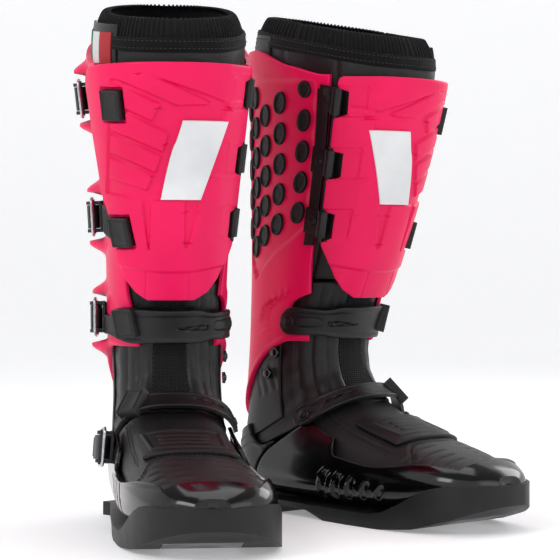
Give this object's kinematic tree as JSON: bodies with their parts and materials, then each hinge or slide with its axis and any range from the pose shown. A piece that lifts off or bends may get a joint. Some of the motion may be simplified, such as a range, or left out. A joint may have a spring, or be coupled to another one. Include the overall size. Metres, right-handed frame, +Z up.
{
  "type": "riding boots",
  "caption": "Pair of tall off-road riding boots: hinged shin plates, lever-buckled straps, flexing ankle gaiters, moulded foot shells and rubber soles.",
  "frame": {"origin": "middle of the pair's bounding box, on the ground", "axes": "+Z up; -Y is the side the toes point towards, the right boot nearly straight along it and the left boot turned out towards +X; the right boot stands on the -X side"},
  "size_m": [0.3418, 0.3892, 0.4007],
  "materials": {
    "pink_plastic": "satin",
    "white_plastic": "satin",
    "black_plastic": "satin",
    "gloss_black_plastic": "gloss",
    "black_rubber": "matt",
    "grey_rubber": "matt",
    "black_leather": "satin",
    "black_knit": "matt",
    "bright_steel": "polished"
  },
  "bodies": {
    "feet": {"outsole_right": "black_rubber", "sole_insert_right": "grey_rubber", "insole_right": "black_knit", "foot_shell_right": "gloss_black_plastic", "heel_cup_right": "black_plastic", "vamp_right": "black_leather", "instep_guard_right": "black_rubber", "ankle_gaiter_right": "black_leather", "instep_buckle_base_right": "black_plastic", "outsole_left": "black_rubber", "sole_insert_left": "grey_rubber", "insole_left": "black_knit", "foot_shell_left": "gloss_black_plastic", "heel_cup_left": "black_plastic", "vamp_left": "black_leather", "instep_guard_left": "black_rubber", "ankle_gaiter_left": "black_leather", "instep_buckle_base_left": "black_plastic"},
    "leg_right": {"leg_shell_right": "pink_plastic", "grip_pad_right": "black_rubber", "collar_right": "black_knit", "hinge_band_right": "black_rubber", "top_buckle_base_right": "black_plastic", "mid_buckle_base_right": "black_plastic", "ankle_buckle_base_right": "black_plastic"},
    "top_lever_body_right": {"top_lever_right": "black_plastic"},
    "top_bail_body_right": {"top_bail_right": "bright_steel"},
    "mid_lever_body_right": {"mid_lever_right": "black_plastic"},
    "mid_bail_body_right": {"mid_bail_right": "bright_steel"},
    "ankle_lever_body_right": {"ankle_lever_right": "black_plastic"},
    "ankle_bail_body_right": {"ankle_bail_right": "bright_steel"},
    "shin_right": {"shin_plate_right": "pink_plastic", "shin_badge_right": "white_plastic", "top_strap_right": "black_plastic", "mid_strap_right": "black_plastic"},
    "ankle_strap_body_right": {"ankle_strap_right": "black_plastic"},
    "instep_lever_body_right": {"instep_lever_right": "black_plastic"},
    "instep_bail_body_right": {"instep_bail_right": "bright_steel"},
    "instep_strap_body_right": {"instep_strap_right": "black_plastic"},
    "leg_left": {"leg_shell_left": "pink_plastic", "grip_pad_left": "black_rubber", "collar_left": "black_knit", "hinge_band_left": "black_rubber", "top_buckle_base_left": "black_plastic", "mid_buckle_base_left": "black_plastic", "ankle_buckle_base_left": "black_plastic"},
    "top_lever_body_left": {"top_lever_left": "black_plastic"},
    "top_bail_body_left": {"top_bail_left": "bright_steel"},
    "mid_lever_body_left": {"mid_lever_left": "black_plastic"},
    "mid_bail_body_left": {"mid_bail_left": "bright_steel"},
    "ankle_lever_body_left": {"ankle_lever_left": "black_plastic"},
    "ankle_bail_body_left": {"ankle_bail_left": "bright_steel"},
    "shin_left": {"shin_plate_left": "pink_plastic", "shin_badge_left": "white_plastic", "top_strap_left": "black_plastic", "mid_strap_left": "black_plastic"},
    "ankle_strap_body_left": {"ankle_strap_left": "black_plastic"},
    "instep_lever_body_left": {"instep_lever_left": "black_plastic"},
    "instep_bail_body_left": {"instep_bail_left": "bright_steel"},
    "instep_strap_body_left": {"instep_strap_left": "black_plastic"}
  },
  "joints": [
    {"name": "ankle_flex_right", "type": "hinge", "parent": "feet", "child": "leg_right", "pos_m": [-0.10134, 0.02883, 0.108], "axis": [0.9936, 0.1132, 0], "range_deg": [0, 12], "stiffness_Nm_per_rad": 20, "deforming": ["ankle_gaiter_right"]},
    {"name": "top_lever_open_right", "type": "hinge", "parent": "leg_right", "child": "top_lever_body_right", "pos_m": [-0.16365, 0.00035, 0.32142], "axis": [-0.1046, -0.0994, 0.9895], "range_deg": [0, 110]},
    {"name": "top_bail_swing_right", "type": "hinge", "parent": "top_lever_body_right", "child": "top_bail_body_right", "pos_m": [-0.16477, 0.01625, 0.3229], "axis": [-0.1046, -0.0994, 0.9895], "range_deg": [-110, 0]},
    {"name": "mid_lever_open_right", "type": "hinge", "parent": "leg_right", "child": "mid_lever_body_right", "pos_m": [-0.15571, 0.01324, 0.23283], "axis": [-0.0507, -0.0402, 0.9979], "range_deg": [0, 110]},
    {"name": "mid_bail_swing_right", "type": "hinge", "parent": "mid_lever_body_right", "child": "mid_bail_body_right", "pos_m": [-0.15689, 0.02919, 0.23342], "axis": [-0.0507, -0.0402, 0.9979], "range_deg": [-110, 0]},
    {"name": "ankle_lever_open_right", "type": "hinge", "parent": "leg_right", "child": "ankle_lever_body_right", "pos_m": [-0.15456, 0.02553, 0.15656], "axis": [-0.0185, 0.0798, 0.9966], "range_deg": [0, 110]},
    {"name": "ankle_bail_swing_right", "type": "hinge", "parent": "ankle_lever_body_right", "child": "ankle_bail_body_right", "pos_m": [-0.15549, 0.04145, 0.15527], "axis": [-0.0185, 0.0798, 0.9966], "range_deg": [-110, 0]},
    {"name": "shin_plate_open_right", "type": "hinge", "parent": "leg_right", "child": "shin_right", "pos_m": [-0.05126, -0.01519, 0.20977], "axis": [0.117, -0.242, 0.9632], "range_deg": [0, 35]},
    {"name": "ankle_strap_open_right", "type": "hinge", "parent": "leg_right", "child": "ankle_strap_body_right", "pos_m": [-0.05535, 0.02686, 0.15183], "axis": [0.0211, -0.1859, 0.9823], "range_deg": [0, 15]},
    {"name": "instep_lever_open_right", "type": "hinge", "parent": "feet", "child": "instep_lever_body_right", "pos_m": [-0.14525, -0.02496, 0.06175], "axis": [0.062, 0.1152, 0.9914], "range_deg": [0, 110]},
    {"name": "instep_bail_swing_right", "type": "hinge", "parent": "instep_lever_body_right", "child": "instep_bail_body_right", "pos_m": [-0.14882, -0.00944, 0.06017], "axis": [0.062, 0.1152, 0.9914], "range_deg": [-110, 0]},
    {"name": "instep_strap_open_right", "type": "hinge", "parent": "feet", "child": "instep_strap_body_right", "pos_m": [-0.0501, 0.00844, 0.07232], "axis": [-0.2525, 0.641, 0.7249], "range_deg": [0, 25]},
    {"name": "ankle_flex_left", "type": "hinge", "parent": "feet", "child": "leg_left", "pos_m": [0.01566, 0.12883, 0.108], "axis": [0.7314, 0.682, 0], "range_deg": [0, 12], "stiffness_Nm_per_rad": 20, "deforming": ["ankle_gaiter_left"]},
    {"name": "top_lever_open_left", "type": "hinge", "parent": "leg_left", "child": "top_lever_body_left", "pos_m": [0.07779, 0.15771, 0.32142], "axis": [-0.1435, -0.015, -0.9895], "range_deg": [0, 110]},
    {"name": "top_bail_swing_left", "type": "hinge", "parent": "top_lever_body_left", "child": "top_bail_body_left", "pos_m": [0.06643, 0.1689, 0.3229], "axis": [-0.1435, -0.015, -0.9895], "range_deg": [-110, 0]},
    {"name": "mid_lever_open_left", "type": "hinge", "parent": "leg_left", "child": "mid_lever_body_left", "pos_m": [0.06283, 0.16006, 0.23283], "axis": [-0.0635, -0.0124, -0.9979], "range_deg": [0, 110]},
    {"name": "mid_bail_swing_left", "type": "hinge", "parent": "mid_lever_body_left", "child": "mid_bail_body_left", "pos_m": [0.05146, 0.17131, 0.23342], "axis": [-0.0635, -0.0124, -0.9979], "range_deg": [-110, 0]},
    {"name": "ankle_lever_open_left", "type": "hinge", "parent": "leg_left", "child": "ankle_lever_body_left", "pos_m": [0.05274, 0.16716, 0.15656], "axis": [0.0487, -0.0659, -0.9966], "range_deg": [0, 110]},
    {"name": "ankle_bail_swing_left", "type": "hinge", "parent": "ankle_lever_body_left", "child": "ankle_bail_body_left", "pos_m": [0.04123, 0.17821, 0.15527], "axis": [0.0487, -0.0659, -0.9966], "range_deg": [-110, 0]},
    {"name": "shin_plate_open_left", "type": "hinge", "parent": "leg_left", "child": "shin_left", "pos_m": [0.01661, 0.06217, 0.20977], "axis": [-0.108, 0.2461, -0.9632], "range_deg": [0, 35]},
    {"name": "ankle_strap_open_left", "type": "hinge", "parent": "leg_left", "child": "ankle_strap_body_left", "pos_m": [-0.0127, 0.09258, 0.15183], "axis": [-0.1276, 0.1368, -0.9823], "range_deg": [0, 15]},
    {"name": "instep_lever_open_left", "type": "hinge", "parent": "feet", "child": "instep_lever_body_left", "pos_m": [0.08509, 0.12729, 0.06175], "axis": [0.1278, -0.0276, -0.9914], "range_deg": [0, 110]},
    {"name": "instep_bail_swing_left", "type": "hinge", "parent": "instep_lever_body_left", "child": "instep_bail_body_left", "pos_m": [0.0756, 0.14008, 0.06017], "axis": [0.1278, -0.0276, -0.9914], "range_deg": [-110, 0]},
    {"name": "instep_strap_open_left", "type": "hinge", "parent": "feet", "child": "instep_strap_body_left", "pos_m": [-0.00211, 0.07663, 0.07232], "axis": [0.3234, -0.6082, -0.7249], "range_deg": [0, 25]}
  ],
  "couplings": [
    {"joint": "top_bail_swing_right", "follows": "top_lever_open_right", "ratio": -1},
    {"joint": "mid_bail_swing_right", "follows": "mid_lever_open_right", "ratio": -1},
    {"joint": "ankle_bail_swing_right", "follows": "ankle_lever_open_right", "ratio": -1},
    {"joint": "instep_bail_swing_right", "follows": "instep_lever_open_right", "ratio": -1},
    {"joint": "top_bail_swing_left", "follows": "top_lever_open_left", "ratio": -1},
    {"joint": "mid_bail_swing_left", "follows": "mid_lever_open_left", "ratio": -1},
    {"joint": "ankle_bail_swing_left", "follows": "ankle_lever_open_left", "ratio": -1},
    {"joint": "instep_bail_swing_left", "follows": "instep_lever_open_left", "ratio": -1}
  ]
}
